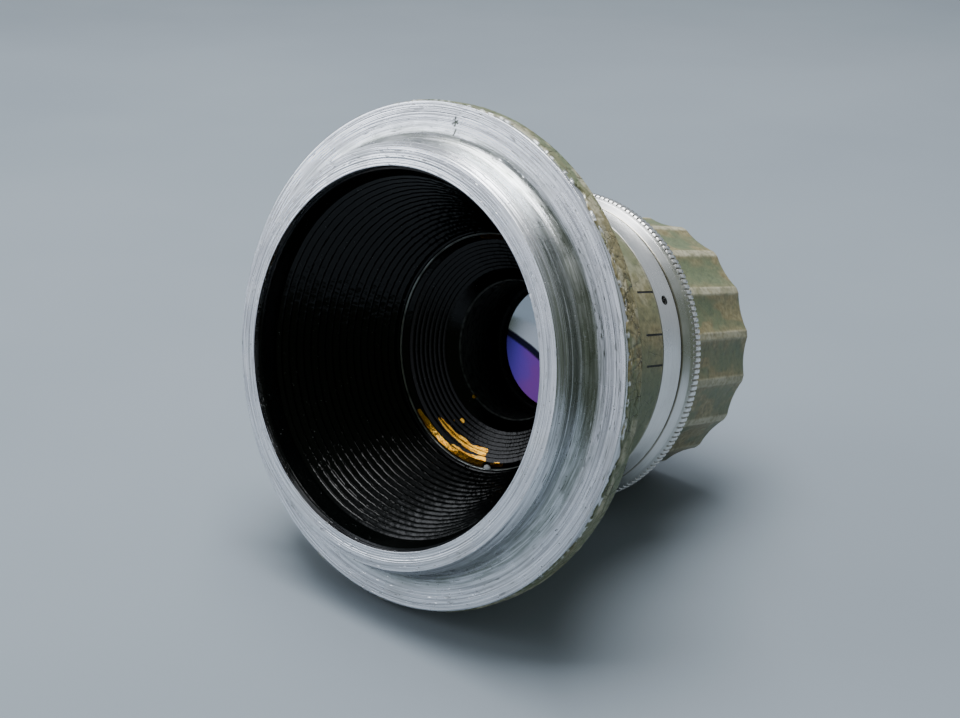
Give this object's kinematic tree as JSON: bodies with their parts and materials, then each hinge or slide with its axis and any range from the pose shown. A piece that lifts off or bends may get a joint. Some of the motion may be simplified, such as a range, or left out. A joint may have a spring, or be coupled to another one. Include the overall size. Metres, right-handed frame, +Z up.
{
  "type": "enlarger lens",
  "caption": "Enlarger lens with a plain rear spigot and flange, ribbed black throat, knurled preset ring and fluted ring that works a bladed iris.",
  "frame": {"origin": "centre of the flange seating face, on the optical axis", "axes": "+Y along the optical axis towards the front element, so the spigot and the ribbed throat point along -Y; +Z up, with the scale lines on the +X side"},
  "size_m": [0.047, 0.0426, 0.047],
  "materials": {
    "barrel_paint": "worn olive hammer paint on aluminium, bare and turned on the flange seat and spigot",
    "ring_aluminium": "satin turned aluminium",
    "black_paint": "semi-gloss black instrument paint",
    "blackened_brass": "brass under black paint, worn through at the edges",
    "bronze": "plain spring bronze",
    "blade_steel": "blued thin spring steel",
    "screw_steel": "plain steel",
    "coated_glass": "optical glass with a blue-violet coating"
  },
  "bodies": {
    "barrel": {"main_barrel": "barrel_paint", "lock_screws": "screw_steel", "rear_baffle": "black_paint", "rear_cell": "blackened_brass", "rear_lock_ring": "black_paint", "rear_crown_lens": "coated_glass", "rear_flint_lens": "coated_glass", "inner_barrel": "black_paint", "iris_housing": "black_paint", "iris_retainer": "black_paint", "middle_lens": "coated_glass", "lens_spacer": "black_paint", "front_lens": "coated_glass", "front_cell": "black_paint", "front_lock_ring": "black_paint", "front_bezel": "black_paint", "thrust_ring": "bronze", "friction_spring": "bronze"},
    "preset_ring": {"index_ring": "ring_aluminium", "index_screw": "black_paint", "knurled_ring": "ring_aluminium"},
    "aperture_ring": {"grip_ring": "barrel_paint", "drive_screw": "screw_steel", "stop_pin": "screw_steel", "actuating_ring": "blade_steel"},
    "blade_1": {"iris_blade_1": "blade_steel"},
    "blade_2": {"iris_blade_2": "blade_steel"},
    "blade_3": {"iris_blade_3": "blade_steel"},
    "blade_4": {"iris_blade_4": "blade_steel"},
    "blade_5": {"iris_blade_5": "blade_steel"},
    "blade_6": {"iris_blade_6": "blade_steel"},
    "blade_7": {"iris_blade_7": "blade_steel"},
    "blade_8": {"iris_blade_8": "blade_steel"}
  },
  "joints": [
    {"name": "preset_turn", "type": "hinge", "parent": "barrel", "child": "preset_ring", "pos_m": [0, 0.0215, 0], "axis": [0, 1, 0], "range_deg": [-3.3, 23.3]},
    {"name": "aperture_turn", "type": "hinge", "parent": "barrel", "child": "aperture_ring", "pos_m": [0, 0.031, 0], "axis": [0, 1, 0], "range_deg": [0, 26.6]},
    {"name": "blade_1_turn", "type": "hinge", "parent": "barrel", "child": "blade_1", "pos_m": [0.0092, 0.0264, 0], "axis": [0, 1, 0], "range_deg": [0, 18.1]},
    {"name": "blade_2_turn", "type": "hinge", "parent": "barrel", "child": "blade_2", "pos_m": [0.00651, 0.0264, -0.00651], "axis": [0, 1, 0], "range_deg": [0, 18.1]},
    {"name": "blade_3_turn", "type": "hinge", "parent": "barrel", "child": "blade_3", "pos_m": [0, 0.0264, -0.0092], "axis": [0, 1, 0], "range_deg": [0, 18.1]},
    {"name": "blade_4_turn", "type": "hinge", "parent": "barrel", "child": "blade_4", "pos_m": [-0.00651, 0.0264, -0.00651], "axis": [0, 1, 0], "range_deg": [0, 18.1]},
    {"name": "blade_5_turn", "type": "hinge", "parent": "barrel", "child": "blade_5", "pos_m": [-0.0092, 0.0264, 0], "axis": [0, 1, 0], "range_deg": [0, 18.1]},
    {"name": "blade_6_turn", "type": "hinge", "parent": "barrel", "child": "blade_6", "pos_m": [-0.00651, 0.0264, 0.00651], "axis": [0, 1, 0], "range_deg": [0, 18.1]},
    {"name": "blade_7_turn", "type": "hinge", "parent": "barrel", "child": "blade_7", "pos_m": [0, 0.0264, 0.0092], "axis": [0, 1, 0], "range_deg": [0, 18.1]},
    {"name": "blade_8_turn", "type": "hinge", "parent": "barrel", "child": "blade_8", "pos_m": [0.00651, 0.0264, 0.00651], "axis": [0, 1, 0], "range_deg": [0, 18.1]}
  ],
  "couplings": [
    {"joint": "blade_1_turn", "follows": "aperture_turn", "ratio": 0.68},
    {"joint": "blade_2_turn", "follows": "aperture_turn", "ratio": 0.68},
    {"joint": "blade_3_turn", "follows": "aperture_turn", "ratio": 0.68},
    {"joint": "blade_4_turn", "follows": "aperture_turn", "ratio": 0.68},
    {"joint": "blade_5_turn", "follows": "aperture_turn", "ratio": 0.68},
    {"joint": "blade_6_turn", "follows": "aperture_turn", "ratio": 0.68},
    {"joint": "blade_7_turn", "follows": "aperture_turn", "ratio": 0.68},
    {"joint": "blade_8_turn", "follows": "aperture_turn", "ratio": 0.68}
  ]
}
